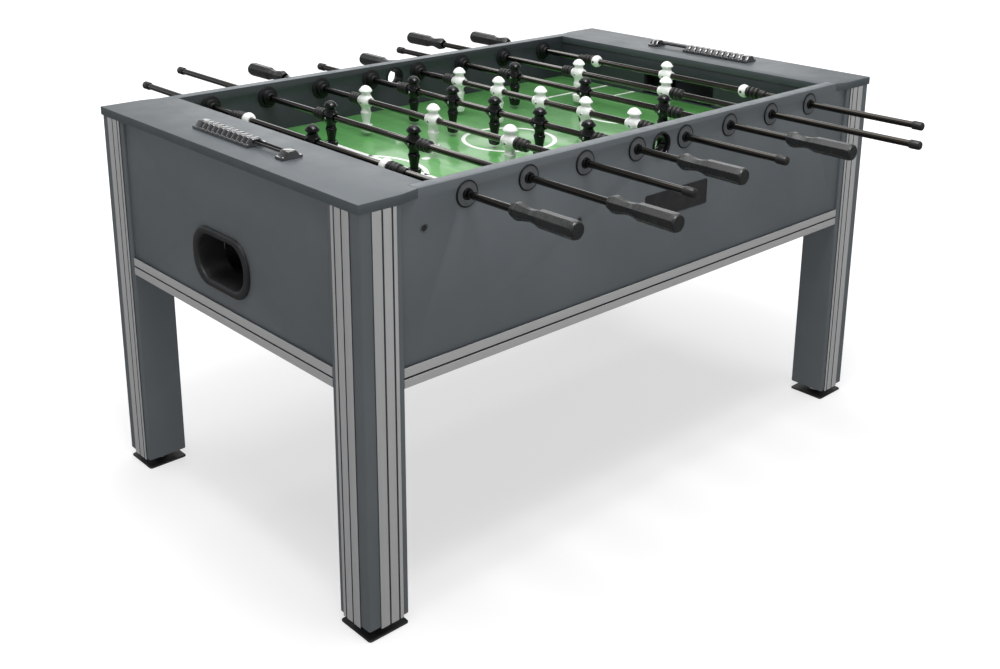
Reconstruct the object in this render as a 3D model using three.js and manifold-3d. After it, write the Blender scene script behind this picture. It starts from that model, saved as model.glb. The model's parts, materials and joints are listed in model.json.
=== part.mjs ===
// Foosball table, full size, eight rods. Millimetres, +Z up.
// X runs along the table, Y across it (the rods lie along Y), and Z = 0 is the floor.
// The origin is at floor level under the middle of the table. The "left" end is at -X,
// and the "front" side is at -Y.

import * as THREE from 'three';
import * as BufferGeometryUtils from 'three/addons/utils/BufferGeometryUtils.js';
import Module from 'manifold-3d';

const wasm = await Module();
wasm.setup();

// ---------------------------------------------------------------- driving dimensions

const GAP = 0.3; // between touching pieces

const TABLE_LENGTH = 1390;
const TABLE_WIDTH = 836; // over the end caps
const TABLE_HEIGHT = 755;

const ROD_PITCH = 136;
const ROD_HEIGHT = 726;
const ROD_RADIUS = 6.5;
const ROD_BORE = 5.2; // the rods are steel tube
const ROD_SIDES = 10;
const HOLE_SIDES = 8;
const WIRE_SIDES = 6;
const SERVE_SIDES = 12;

const SIDE_OUTER_Y = 410; // outer face of the side panels
const SIDE_THICKNESS = 25;
const SIDE_INNER_Y = SIDE_OUTER_Y - SIDE_THICKNESS;
const PANEL_BOTTOM = 430;

const LEG_SIZE = 82;
const LEG_OUTER_X = 693;
const LEG_OUTER_Y = 416;
const LEG_BOTTOM = 20;
const LEG_INNER_X = LEG_OUTER_X - LEG_SIZE;
const LEG_INNER_Y = LEG_OUTER_Y - LEG_SIZE;

const CAP_THICKNESS = 16;
const CAP_INNER_X = 546;
const CAP_SHOULDER_X = 618; // where the cap's side edge starts to curve in
const CAP_NECK_X = 576; // where the cap narrows to fit between the side panels
const CAP_CURVE_X = 607; // control point of that curve
const CAP_BOTTOM = TABLE_HEIGHT - CAP_THICKNESS;

const END_OUTER_X = 688; // outer face of the end panels
const END_THICKNESS = 18;

const FIELD_TOP = 651;
const FIELD_THICKNESS = 12;
const FIELD_END_X = 548; // inner face of the goal walls
const GOAL_WALL_THICKNESS = 12;
const GOAL_WALL_BOTTOM = 560;
const GOAL_HALF_WIDTH = 105;
const GOAL_HEIGHT = 54;
const GOAL_HOOD_DEPTH = 30; // the full-width catcher behind the goal mouth
const CHUTE_WALL = 4;
const CHUTE_TOP_X = 599; // where the chute's roof starts to slope
const CHUTE_SLOPE_DROP = 26;
const CHUTE_TOE_X = 608; // where the chute's back wall meets the floor of the cup

const APRON_HEIGHT = 36; // ribbed trim along the bottom of every panel
const APRON_PROUD = 4;

const RETURN_HEIGHT = 548; // centre of the ball return
const RETURN_HALF_WIDTH = 76; // inside the cup
const RETURN_HALF_HEIGHT = 42;
const RETURN_WALL = 3;
const RETURN_CORNER = 40;
const RETURN_DEPTH = 50; // from the end panel's outer face to the back of the cup
const RETURN_FLANGE = 17; // rim width beside the cup opening
const RETURN_FLANGE_HEIGHT = 13; // rim width above and below it
const RETURN_RIM_CORNER = 50;
const RETURN_PROUD = 4.5; // rim in front of the end panel

const SERVE_HEIGHT = 722;
const SERVE_HOLE_RADIUS = 22;
const BUSHING_HOLE_RADIUS = 10.5;

const FOOT_SIZE = 82;
const FOOT_THICKNESS = 4;
const STEM_RADIUS = 5;
const STEM_TOP = 66;
const STEM_HOLE_TOP = 100;

const TRIM_START = 23; // leg corner to the ribbed trim
const TRIM_RIBS = [[0, 18], [21, 37], [40, 47]]; // each rib's start and end, from TRIM_START
const TRIM_PROUD = 2;

const HANDLE_LENGTH = 138;
const FERRULE_LENGTH = 22;
const FERRULE_RADIUS = 8.5;
const BUMPER_LENGTH = 32;
const LONG_BUMPER_LENGTH = 48; // on the goalkeepers' rods, outside the stop collars
const BUMPER_RADIUS = 12.5;
const COLLAR_OFFSET = 220; // stop collars from the goalkeeper
const COLLAR_RADIUS = 14.5;
const MAN_HALF_WIDTH = 17;
const MAN_THICKNESS_RATIO = 0.9; // the men are a little thinner than they are wide
const HANDLE_SOCKET = 120; // how far the rod reaches into its handle
const TUBE_END_WALL = 4;

const SCORER_X = 628;
const SCORER_LENGTH = 294;
const SCORER_SEAT = TABLE_HEIGHT + GAP; // underside of the end stands
const SCORER_HALF_WIDTH = 20;
const COUNTER_COUNT = 10;
const COUNTER_PITCH = 16.4;
const COUNTER_GAP = 1.4;
const COUNTER_CLEARANCE = 0.4; // under the counters, over the underside of the stands
const COUNTER_CORE_SCALE = 0.86; // the narrower core that joins the counters
const STAND_LENGTH = 22;
const SCORER_WIRE_RADIUS = 2.2;
const SCORER_WIRE_X = 5;
const SCORER_WIRE_RISE = 8.5;
const SCORER_WIRE_EMBED = 5; // the wires stop this far inside the ends of the stands
const SCORER_WIRE_CLEARANCE = 0.8;

// Per kind of rod: men, their spacing, and how far the rod reaches from its middle man
// to the bare end and to the end of the handle.
const ROD_KINDS = {
  goalkeeper: { men: 1, spacing: 0, bare: 646, handle: 674 },
  defender: { men: 2, spacing: 262, bare: 737, handle: 755 },
  midfielder: { men: 5, spacing: 130, bare: 616, handle: 619 },
  striker: { men: 3, spacing: 221, bare: 653, handle: 663 },
};

// The rods from left to right. side is the Y side that the handle is on, and rest is
// how far the rod is pushed along Y in the drawn position.
const RODS = [
  { kind: 'goalkeeper', team: 'black', side: -1, rest: 19 },
  { kind: 'defender', team: 'black', side: -1, rest: 24 },
  { kind: 'striker', team: 'white', side: 1, rest: 1 },
  { kind: 'midfielder', team: 'black', side: -1, rest: -29 },
  { kind: 'midfielder', team: 'white', side: 1, rest: -23 },
  { kind: 'striker', team: 'black', side: -1, rest: -22 },
  { kind: 'defender', team: 'white', side: 1, rest: -4 },
  { kind: 'goalkeeper', team: 'white', side: 1, rest: -24 },
];

const rodX = (index) => (index - (RODS.length - 1) / 2) * ROD_PITCH;

// The eight-sided bore of the men and handles, wide enough at its flats for the tube.
const BORE_RADIUS = (ROD_RADIUS + GAP) / Math.cos(Math.PI / HOLE_SIDES) + 0.1;

// ---------------------------------------------------------------- materials

/** A maker of one material, so that every piece gets a material of its own. */
const finish = (color, roughness, metalness) => () =>
  new THREE.MeshStandardMaterial({ color, roughness, metalness });

const slateLaminate = finish(0x474e55, 0.5, 0.0);
const innerLaminate = finish(0x2f353b, 0.55, 0.0);
const greenField = finish(0x3f9a4b, 0.25, 0.0);
const darkSteel = finish(0x2b2621, 0.3, 0.9);
const blackPlastic = finish(0x101112, 0.35, 0.0);
const gripPlastic = finish(0x3a3c3b, 0.5, 0.0);
const whitePlastic = finish(0xf2f2f2, 0.3, 0.0);
const footPlastic = finish(0x0c0d0e, 0.6, 0.0);

// ---------------------------------------------------------------- geometry helpers

/** A closed three.js geometry as a manifold solid. */
function solid(geometry) {
  let plain = geometry.index ? geometry.toNonIndexed() : geometry.clone();
  for (const attribute of Object.keys(plain.attributes)) {
    if (attribute !== 'position') plain.deleteAttribute(attribute);
  }
  plain = BufferGeometryUtils.mergeVertices(plain, 1e-4);
  const mesh = new wasm.Mesh({
    numProp: 3,
    vertProperties: new Float32Array(plain.attributes.position.array),
    triVerts: new Uint32Array(plain.index.array),
  });
  return new wasm.Manifold(mesh);
}

/** A manifold solid as a three.js geometry. */
function geometryOf(manifold) {
  const mesh = manifold.getMesh();
  const geometry = new THREE.BufferGeometry();
  geometry.setAttribute('position', new THREE.BufferAttribute(mesh.vertProperties, 3));
  geometry.setIndex(new THREE.BufferAttribute(mesh.triVerts, 1));
  return geometry;
}

/** A box between two corners. */
function block(x0, x1, y0, y1, z0, z1) {
  const box = new THREE.BoxGeometry(x1 - x0, y1 - y0, z1 - z0);
  return solid(box.translate((x0 + x1) / 2, (y0 + y1) / 2, (z0 + z1) / 2));
}

/** An outline in X and Y, raised along Z. */
function plate(shape, z0, z1) {
  const depth = z1 - z0;
  const raised = new THREE.ExtrudeGeometry(shape, { depth, bevelEnabled: false, curveSegments: 3 });
  return solid(raised.translate(0, 0, z0));
}

/** An outline given in Y and Z, drawn out along X. */
function alongX(shape, x0, x1) {
  const depth = x1 - x0;
  const raised = new THREE.ExtrudeGeometry(shape, { depth, bevelEnabled: false, curveSegments: 3 });
  raised.applyMatrix4(new THREE.Matrix4().makeBasis(
    new THREE.Vector3(0, 1, 0),
    new THREE.Vector3(0, 0, 1),
    new THREE.Vector3(1, 0, 0),
  ));
  return solid(raised.translate(x0, 0, 0));
}

/** An outline given in Z and X, drawn out along Y. */
function alongY(shape, y0, y1) {
  const raised = new THREE.ExtrudeGeometry(shape, { depth: y1 - y0, bevelEnabled: false });
  raised.applyMatrix4(new THREE.Matrix4().makeBasis(
    new THREE.Vector3(0, 0, 1),
    new THREE.Vector3(1, 0, 0),
    new THREE.Vector3(0, 1, 0),
  ));
  return solid(raised.translate(0, y0, 0));
}

/** A round bar along Y. */
function bar(radius, y0, y1, sides, x = 0, z = 0) {
  const cylinder = new THREE.CylinderGeometry(radius, radius, y1 - y0, sides);
  return solid(cylinder.translate(x, (y0 + y1) / 2, z));
}

/** A closed outline from [x, y] points. */
function outline(points) {
  return new THREE.Shape(points.map(([x, y]) => new THREE.Vector2(x, y)));
}

/** A rectangle with round corners, centred on [0, centreY]. */
function roundedRectangle(halfWidth, halfHeight, radius, centreY) {
  const shape = new THREE.Shape();
  const right = halfWidth - radius;
  const top = halfHeight - radius;
  shape.moveTo(-right, centreY - halfHeight);
  shape.lineTo(right, centreY - halfHeight);
  shape.absarc(right, centreY - top, radius, -Math.PI / 2, 0);
  shape.absarc(right, centreY + top, radius, 0, Math.PI / 2);
  shape.absarc(-right, centreY + top, radius, Math.PI / 2, Math.PI);
  shape.absarc(-right, centreY - top, radius, Math.PI, 1.5 * Math.PI);
  return shape;
}

/** Several overlapping solids as one. */
function joined(solids) {
  return solids.reduce((whole, piece) => whole.add(piece));
}

/** A solid with its X and Y multiplied by 1 or -1. */
function mirrored(manifold, x, y) {
  const geometry = geometryOf(manifold).toNonIndexed();
  geometry.scale(x, y, 1);
  if (x * y < 0) flipFaces(geometry);
  return solid(geometry);
}

/** Swaps two corners of each triangle, so a mirrored solid faces out again. */
function flipFaces(geometry) {
  const corners = geometry.attributes.position;
  const first = new THREE.Vector3();
  const second = new THREE.Vector3();
  for (let index = 0; index < corners.count; index += 3) {
    first.fromBufferAttribute(corners, index);
    second.fromBufferAttribute(corners, index + 1);
    corners.setXYZ(index, second.x, second.y, second.z);
    corners.setXYZ(index + 1, first.x, first.y, first.z);
  }
}

const table = new THREE.Group();

/** Adds a named piece to the table. */
function add(name, manifold, material, position = [0, 0, 0]) {
  const mesh = new THREE.Mesh(geometryOf(manifold), material());
  mesh.name = name;
  mesh.position.set(...position);
  table.add(mesh);
}

// ---------------------------------------------------------------- cabinet

/** The front side panel with its rod holes, serving hole and bottom trim. */
function sidePanel() {
  const end = LEG_INNER_X - GAP;
  const underCap = CAP_BOTTOM - GAP;
  const neck = CAP_NECK_X - GAP;
  const face = outline([
    [-end, PANEL_BOTTOM], [end, PANEL_BOTTOM], [end, underCap], [neck, underCap],
    [neck, TABLE_HEIGHT], [-neck, TABLE_HEIGHT], [-neck, underCap], [-end, underCap],
  ]);
  const board = new THREE.ExtrudeGeometry(face, { depth: SIDE_THICKNESS, bevelEnabled: false });
  board.rotateX(Math.PI / 2);
  board.translate(0, -SIDE_INNER_Y, 0);
  const apron = block(
    -end, end, -SIDE_OUTER_Y - APRON_PROUD, -SIDE_OUTER_Y,
    PANEL_BOTTOM, PANEL_BOTTOM + APRON_HEIGHT);
  const rodHoles = RODS.map((rod, index) =>
    bar(BUSHING_HOLE_RADIUS, -TABLE_WIDTH, 0, HOLE_SIDES, rodX(index), ROD_HEIGHT));
  const servingHole = bar(SERVE_HOLE_RADIUS, -TABLE_WIDTH, 0, SERVE_SIDES, 0, SERVE_HEIGHT);
  return solid(board).add(apron).subtract(joined([servingHole, ...rodHoles]));
}

/** The left end panel with the ball return's hole and its bottom trim. */
function endPanel() {
  const halfWidth = LEG_INNER_Y - GAP;
  const board = block(
    -END_OUTER_X, -END_OUTER_X + END_THICKNESS,
    -halfWidth, halfWidth, PANEL_BOTTOM, CAP_BOTTOM - GAP);
  const apron = block(
    -END_OUTER_X - APRON_PROUD, -END_OUTER_X,
    -halfWidth, halfWidth, PANEL_BOTTOM, PANEL_BOTTOM + APRON_HEIGHT);
  const sleeve = RETURN_WALL + GAP;
  const hole = roundedRectangle(
    RETURN_HALF_WIDTH + sleeve, RETURN_HALF_HEIGHT + sleeve, RETURN_CORNER, RETURN_HEIGHT);
  return board.add(apron).subtract(alongX(hole, -TABLE_LENGTH, 0));
}

/** The left end cap: a plank whose side edges curve in to meet the side panels. */
function endCap() {
  const outerX = -TABLE_LENGTH / 2;
  const outerY = TABLE_WIDTH / 2;
  const neckY = SIDE_INNER_Y - GAP;
  const shape = new THREE.Shape();
  shape.moveTo(outerX, -outerY);
  shape.lineTo(-CAP_SHOULDER_X, -outerY);
  shape.quadraticCurveTo(-CAP_CURVE_X, -outerY, -CAP_NECK_X, -SIDE_OUTER_Y);
  shape.lineTo(-CAP_NECK_X, -neckY);
  shape.lineTo(-CAP_INNER_X, -neckY);
  shape.lineTo(-CAP_INNER_X, neckY);
  shape.lineTo(-CAP_NECK_X, neckY);
  shape.lineTo(-CAP_NECK_X, SIDE_OUTER_Y);
  shape.quadraticCurveTo(-CAP_CURVE_X, outerY, -CAP_SHOULDER_X, outerY);
  shape.lineTo(outerX, outerY);
  return plate(shape, CAP_BOTTOM, TABLE_HEIGHT);
}

/** The chute behind the left goal, as a shell and the hollow inside it. */
function goalChute() {
  const wallBack = -FIELD_END_X - GOAL_WALL_THICKNESS;
  const goalTop = FIELD_TOP + GOAL_HEIGHT;
  const roofEnd = goalTop - CHUTE_SLOPE_DROP;
  const cupBack = -END_OUTER_X + RETURN_DEPTH;
  const cupFloor = RETURN_HEIGHT - RETURN_HALF_HEIGHT;
  const shell = outline([
    [FIELD_TOP - FIELD_THICKNESS, wallBack],
    [goalTop + CHUTE_WALL, wallBack],
    [goalTop + CHUTE_WALL, -CHUTE_TOP_X - 1],
    [roofEnd + 2, cupBack - CHUTE_WALL],
    [cupFloor - CHUTE_WALL, cupBack - CHUTE_WALL],
    [cupFloor - CHUTE_WALL, -CHUTE_TOE_X + CHUTE_WALL],
  ]);
  const hollow = outline([
    [FIELD_TOP, wallBack + CHUTE_WALL],
    [goalTop, wallBack + CHUTE_WALL],
    [goalTop, -CHUTE_TOP_X],
    [roofEnd, cupBack],
    [cupFloor, cupBack],
    [cupFloor, -CHUTE_TOE_X],
    [FIELD_TOP, wallBack - 2],
  ]);
  const half = RETURN_HALF_WIDTH + RETURN_WALL;
  return [
    alongY(shell, -half, half),
    alongY(hollow, -RETURN_HALF_WIDTH, RETURN_HALF_WIDTH),
  ];
}

/** The full-width hood behind the left goal mouth, as a shell and the hollow inside it. */
function goalHood() {
  const wallBack = -FIELD_END_X - GOAL_WALL_THICKNESS;
  const hoodBack = wallBack - GOAL_HOOD_DEPTH;
  const goalTop = FIELD_TOP + GOAL_HEIGHT;
  const outerHalf = GOAL_HALF_WIDTH + CHUTE_WALL;
  return [
    block(hoodBack, wallBack, -outerHalf, outerHalf, FIELD_TOP - 2 * CHUTE_WALL, goalTop + CHUTE_WALL),
    block(
      hoodBack + CHUTE_WALL, wallBack, -GOAL_HALF_WIDTH, GOAL_HALF_WIDTH,
      FIELD_TOP - CHUTE_WALL, goalTop),
  ];
}

/** The left ball return: its rim and cup, and the hollow inside them. */
function ballReturn() {
  const rimFront = -END_OUTER_X - RETURN_PROUD;
  const cupBack = -END_OUTER_X + RETURN_DEPTH;
  const rim = roundedRectangle(
    RETURN_HALF_WIDTH + RETURN_FLANGE, RETURN_HALF_HEIGHT + RETURN_FLANGE_HEIGHT,
    RETURN_RIM_CORNER, RETURN_HEIGHT);
  const cup = roundedRectangle(
    RETURN_HALF_WIDTH + RETURN_WALL, RETURN_HALF_HEIGHT + RETURN_WALL,
    RETURN_CORNER, RETURN_HEIGHT);
  const inside = roundedRectangle(
    RETURN_HALF_WIDTH, RETURN_HALF_HEIGHT, RETURN_CORNER - RETURN_WALL, RETURN_HEIGHT);
  return [
    alongX(rim, rimFront, -END_OUTER_X - GAP).add(alongX(cup, rimFront, cupBack)),
    alongX(inside, rimFront - 1, cupBack + 1),
  ];
}

/** The left goal wall, with the chute behind its goal and the ball return cup. */
function goalHousing() {
  const wallBack = -FIELD_END_X - GOAL_WALL_THICKNESS;
  const wall = block(
    wallBack, -FIELD_END_X, -SIDE_INNER_Y + GAP, SIDE_INNER_Y - GAP,
    GOAL_WALL_BOTTOM, CAP_BOTTOM - GAP);
  const goalMouth = block(
    wallBack - 1, -CAP_INNER_X, -GOAL_HALF_WIDTH, GOAL_HALF_WIDTH,
    FIELD_TOP, FIELD_TOP + GOAL_HEIGHT);
  const [chute, chuteHollow] = goalChute();
  const [hood, hoodHollow] = goalHood();
  const [cup, cupHollow] = ballReturn();
  return joined([wall, chute, hood, cup])
    .subtract(joined([goalMouth, hoodHollow, chuteHollow, cupHollow]));
}

/** The front left leg, with a ribbed trim on each outer face and a hole for the foot's stem. */
function leg() {
  const [x0, y0] = [-LEG_OUTER_X, -LEG_OUTER_Y];
  const top = CAP_BOTTOM - GAP;
  const post = block(x0, x0 + LEG_SIZE, y0, y0 + LEG_SIZE, LEG_BOTTOM, top);
  const trims = TRIM_RIBS.flatMap(([start, end]) => [
    block(
      x0 + TRIM_START + start, x0 + TRIM_START + end,
      y0 - TRIM_PROUD, y0 + 1, LEG_BOTTOM, top),
    block(
      x0 - TRIM_PROUD, x0 + 1,
      y0 + TRIM_START + start, y0 + TRIM_START + end, LEG_BOTTOM, top),
  ]);
  const radius = STEM_RADIUS + 1;
  const stemHole = new THREE.CylinderGeometry(radius, radius, STEM_HOLE_TOP, HOLE_SIDES);
  stemHole.rotateX(Math.PI / 2);
  stemHole.translate(x0 + LEG_SIZE / 2, y0 + LEG_SIZE / 2, STEM_HOLE_TOP / 2);
  return joined([post, ...trims]).subtract(solid(stemHole));
}

/** A levelling foot: a square plate on a threaded stem, centred on the Z axis. */
function levellerFoot() {
  const half = FOOT_SIZE / 2;
  const base = block(-half, half, -half, half, 0, FOOT_THICKNESS);
  const bossBottom = FOOT_THICKNESS - 1;
  const profile = [
    [0, bossBottom], [14, bossBottom], [10, 10], [STEM_RADIUS, 11],
    [STEM_RADIUS, STEM_TOP], [0, STEM_TOP],
  ];
  const points = profile.map(([radius, z]) => new THREE.Vector2(radius, z));
  const stem = new THREE.LatheGeometry(points, HOLE_SIDES);
  return base.add(solid(stem.rotateX(Math.PI / 2)));
}

// ---------------------------------------------------------------- scorers

// The section of the counters and end stands: [x, height above the seat] points.
const SCORER_SECTION = [
  [-SCORER_HALF_WIDTH, 0], [-SCORER_HALF_WIDTH, 5], [-15.5, 5.5], [-8, 14.5],
  [8, 14.5], [15.5, 5.5], [SCORER_HALF_WIDTH, 5], [SCORER_HALF_WIDTH, 0],
];

/** A flanged block along Y with sloping sides and a flat top. */
function scorerBlock(y0, y1, scale = 1) {
  const section = SCORER_SECTION.map(([x, z]) => [SCORER_SEAT + z * scale, x * scale]);
  return alongY(outline(section), y0, y1);
}

/** The two wires along Y, or the holes for them. */
function scorerWires(radius, y0, y1) {
  return [-SCORER_WIRE_X, SCORER_WIRE_X].map((x) =>
    bar(radius, y0, y1, WIRE_SIDES, x, SCORER_SEAT + SCORER_WIRE_RISE));
}

/** Two end stands joined by two wires, centred on X = 0. */
function scorerFrame() {
  const half = SCORER_LENGTH / 2;
  const wireEnd = half - SCORER_WIRE_EMBED;
  return joined([
    scorerBlock(-half, -half + STAND_LENGTH),
    scorerBlock(half - STAND_LENGTH, half),
    ...scorerWires(SCORER_WIRE_RADIUS, -wireEnd, wireEnd),
  ]);
}

const ROW_LENGTH = COUNTER_COUNT * COUNTER_PITCH - COUNTER_GAP;

/** Ten counters in a row, closed up from y0 on, sliding on the scorer's two wires. */
function counterRow(y0) {
  const y1 = y0 + ROW_LENGTH;
  const counters = Array.from({ length: COUNTER_COUNT }, (_, index) => {
    const start = y0 + index * COUNTER_PITCH;
    return scorerBlock(start, start + COUNTER_PITCH - COUNTER_GAP);
  });
  const core = scorerBlock(y0 + 1, y1 - 1, COUNTER_CORE_SCALE);
  const underside = block(
    -2 * SCORER_HALF_WIDTH, 2 * SCORER_HALF_WIDTH, y0 - 1, y1 + 1,
    SCORER_SEAT - 1, SCORER_SEAT + COUNTER_CLEARANCE);
  const holes = scorerWires(SCORER_WIRE_RADIUS + SCORER_WIRE_CLEARANCE, y0 - 1, y1 + 1);
  return joined([...counters, core]).subtract(joined([underside, ...holes]));
}

// ---------------------------------------------------------------- rods

/** The men's places along Y from the rod's middle, from the back to the front. */
function menPlaces({ men, spacing }) {
  return Array.from({ length: men }, (_, index) => ((men - 1) / 2 - index) * spacing);
}

/** A turned solid about Y from [radius, y] points, with the handle's end towards side. */
function placedTurning(profile, side, rest, sides) {
  const points = profile.map(([r, y]) => new THREE.Vector2(r, rest + side * y));
  return solid(new THREE.LatheGeometry(side > 0 ? points : points.reverse(), sides));
}

/**
 * The outline of the bumper beside the men at one end of a rod, from the middle out. On a
 * goalkeeper's rod a round stop collar comes before it.
 */
function endStops({ men, spacing }) {
  const goalkeeper = men === 1;
  const length = goalkeeper ? LONG_BUMPER_LENGTH : BUMPER_LENGTH;
  const collarEnd = COLLAR_OFFSET + 0.7 * COLLAR_RADIUS;
  const manEdge = ((men - 1) / 2) * spacing + MAN_HALF_WIDTH + GAP;
  const start = goalkeeper ? collarEnd : manEdge;
  const collar = [
    [ROD_RADIUS, COLLAR_OFFSET - 0.8 * COLLAR_RADIUS],
    [0.8 * COLLAR_RADIUS, COLLAR_OFFSET - 0.7 * COLLAR_RADIUS],
    [COLLAR_RADIUS, COLLAR_OFFSET],
    [0.8 * COLLAR_RADIUS, collarEnd],
  ];
  return [
    ...(goalkeeper ? collar : [[ROD_RADIUS, start]]),
    [BUMPER_RADIUS, start], [BUMPER_RADIUS, start + 0.75 * length],
    [FERRULE_RADIUS, start + length], [ROD_RADIUS, start + length],
  ];
}

/** The hollow tube with its ferrule, bumpers and, on a goalkeeper's rod, stop collars. */
function rodTube({ kind, side, rest }) {
  const { bare, handle } = ROD_KINDS[kind];
  const grip = handle - HANDLE_LENGTH + HANDLE_SOCKET;
  const hollowEnd = -bare + TUBE_END_WALL;
  const outer = endStops(ROD_KINDS[kind]);
  const inner = outer.map(([r, y]) => [r, -y]).reverse();
  const profile = [
    [0, -bare], [FERRULE_RADIUS, -bare], [FERRULE_RADIUS, -bare + FERRULE_LENGTH],
    [ROD_RADIUS, -bare + FERRULE_LENGTH],
    ...inner, ...outer,
    [ROD_RADIUS, grip], [ROD_BORE, grip], [ROD_BORE, hollowEnd], [0, hollowEnd],
  ];
  return placedTurning(profile, side, rest, ROD_SIDES);
}

/** A handle with a faceted collar, a waist and an eight-sided grip, bored for the tube. */
function rodHandle({ kind, side, rest }) {
  const start = ROD_KINDS[kind].handle - HANDLE_LENGTH;
  const boreEnd = HANDLE_SOCKET + GAP;
  const profile = [
    [BORE_RADIUS, 0], [11, 0], [15, 12], [14.4, 18], [10.8, 41], [14.6, 61], [15.5, 131],
    [12, HANDLE_LENGTH], [0, HANDLE_LENGTH], [0, boreEnd], [BORE_RADIUS, boreEnd],
    [BORE_RADIUS, 0],
  ];
  const placed = profile.map(([radius, y]) => [radius, start + y]);
  return placedTurning(placed, side, rest, HOLE_SIDES);
}

/** A man hanging on the rod, feet down, centred on the origin and bored for the tube. */
function rodMan() {
  // Foot, ankle, hips, waist, shoulders, neck, the brim of the head and its crown.
  const profile = [
    [0, -67.5], [10, -67.5], [8, -50], [12, -24], [9, -16], [MAN_HALF_WIDTH, -3],
    [MAN_HALF_WIDTH, 5], [9.5, 15], [15, 21], [0, 33],
  ];
  const points = profile.map(([radius, z]) => new THREE.Vector2(radius, z));
  const figure = new THREE.LatheGeometry(points, HOLE_SIDES, Math.PI / HOLE_SIDES);
  figure.rotateX(Math.PI / 2);
  figure.scale(MAN_THICKNESS_RATIO, 1, 1);
  const bore = bar(BORE_RADIUS, -2 * MAN_HALF_WIDTH, 2 * MAN_HALF_WIDTH, HOLE_SIDES);
  return solid(figure).subtract(bore);
}

// ---------------------------------------------------------------- assembly

const frontPanel = sidePanel();
add('front_side_panel', frontPanel, slateLaminate);
add('back_side_panel', mirrored(frontPanel, 1, -1), slateLaminate);

const housing = goalHousing();
const panel = endPanel();
const cap = endCap();
for (const [name, flip] of [['left', 1], ['right', -1]]) {
  add(`${name}_end_panel`, mirrored(panel, flip, 1), slateLaminate);
  add(`${name}_goal_housing`, mirrored(housing, flip, 1), innerLaminate);
  add(`${name}_end_cap`, mirrored(cap, flip, 1), slateLaminate);
}

add('playfield', block(
  -FIELD_END_X + GAP, FIELD_END_X - GAP, -SIDE_INNER_Y + GAP, SIDE_INNER_Y - GAP,
  FIELD_TOP - FIELD_THICKNESS, FIELD_TOP), greenField);

const corner = leg();
const foot = levellerFoot();
for (const [name, x, y] of [
  ['front_left', -1, -1], ['front_right', 1, -1], ['back_left', -1, 1], ['back_right', 1, 1],
]) {
  add(`${name}_leg`, mirrored(corner, -x, -y), slateLaminate);
  const centreX = x * (LEG_OUTER_X - LEG_SIZE / 2);
  const centreY = y * (LEG_OUTER_Y - LEG_SIZE / 2);
  add(`${name}_levelling_foot`, foot, footPlastic, [centreX, centreY, 0]);
}

// The left counters are closed up against the back stand, the right ones against the front.
const frame = scorerFrame();
const standFace = SCORER_LENGTH / 2 - STAND_LENGTH - 0.5;
for (const [name, x, rowStart] of [
  ['left', -SCORER_X, standFace - ROW_LENGTH], ['right', SCORER_X, -standFace],
]) {
  add(`${name}_scorer`, frame, blackPlastic, [x, 0, 0]);
  add(`${name}_score_counters`, counterRow(rowStart), blackPlastic, [x, 0, 0]);
}

const man = rodMan();
RODS.forEach((rod, index) => {
  const name = `rod_${index + 1}`;
  const plastic = rod.team === 'black' ? blackPlastic : whitePlastic;
  const axis = [rodX(index), 0, ROD_HEIGHT];
  add(`${name}_tube`, rodTube(rod), darkSteel, axis);
  add(`${name}_handle`, rodHandle(rod), gripPlastic, axis);
  menPlaces(ROD_KINDS[rod.kind]).forEach((place, number) => {
    const suffix = ROD_KINDS[rod.kind].men > 1 ? `_${number + 1}` : '';
    add(`${name}_${rod.kind}${suffix}`, man, plastic, [axis[0], rod.rest + place, ROD_HEIGHT]);
  });
});

export default table;
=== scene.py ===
import json
import math

import bmesh
import bpy
from mathutils import Matrix, Vector

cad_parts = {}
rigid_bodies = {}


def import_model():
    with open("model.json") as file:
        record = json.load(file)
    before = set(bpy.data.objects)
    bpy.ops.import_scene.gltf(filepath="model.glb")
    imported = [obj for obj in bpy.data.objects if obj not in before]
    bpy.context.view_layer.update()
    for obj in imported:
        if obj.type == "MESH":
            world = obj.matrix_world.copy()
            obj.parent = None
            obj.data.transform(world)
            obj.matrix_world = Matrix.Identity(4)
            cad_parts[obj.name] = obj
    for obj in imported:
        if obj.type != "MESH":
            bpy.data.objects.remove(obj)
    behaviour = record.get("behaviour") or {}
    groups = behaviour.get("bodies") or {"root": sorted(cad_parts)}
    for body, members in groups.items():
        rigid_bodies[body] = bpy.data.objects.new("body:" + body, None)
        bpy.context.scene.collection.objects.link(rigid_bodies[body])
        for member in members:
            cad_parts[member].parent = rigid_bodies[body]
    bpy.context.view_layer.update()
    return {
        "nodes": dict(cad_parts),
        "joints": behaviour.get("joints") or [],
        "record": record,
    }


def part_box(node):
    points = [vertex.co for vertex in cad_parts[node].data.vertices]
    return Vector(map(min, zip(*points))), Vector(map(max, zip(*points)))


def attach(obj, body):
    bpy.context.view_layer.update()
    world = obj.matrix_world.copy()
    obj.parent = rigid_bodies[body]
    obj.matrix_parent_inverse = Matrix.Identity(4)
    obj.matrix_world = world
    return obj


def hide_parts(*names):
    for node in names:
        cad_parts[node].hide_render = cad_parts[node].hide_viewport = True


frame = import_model()

# Foosball table. Metres, +Z up, X along the table, Y along the rods. The front is at -Y.

MM = 0.001
GAP = 0.3 * MM  # between touching pieces
CABINET = "cabinet"
SIDES = (("front", -1), ("back", 1))
ENDS = (("left", -1), ("right", 1))
CORNERS = (("front_left", -1, -1), ("front_right", 1, -1), ("back_left", -1, 1), ("back_right", 1, 1))

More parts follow.
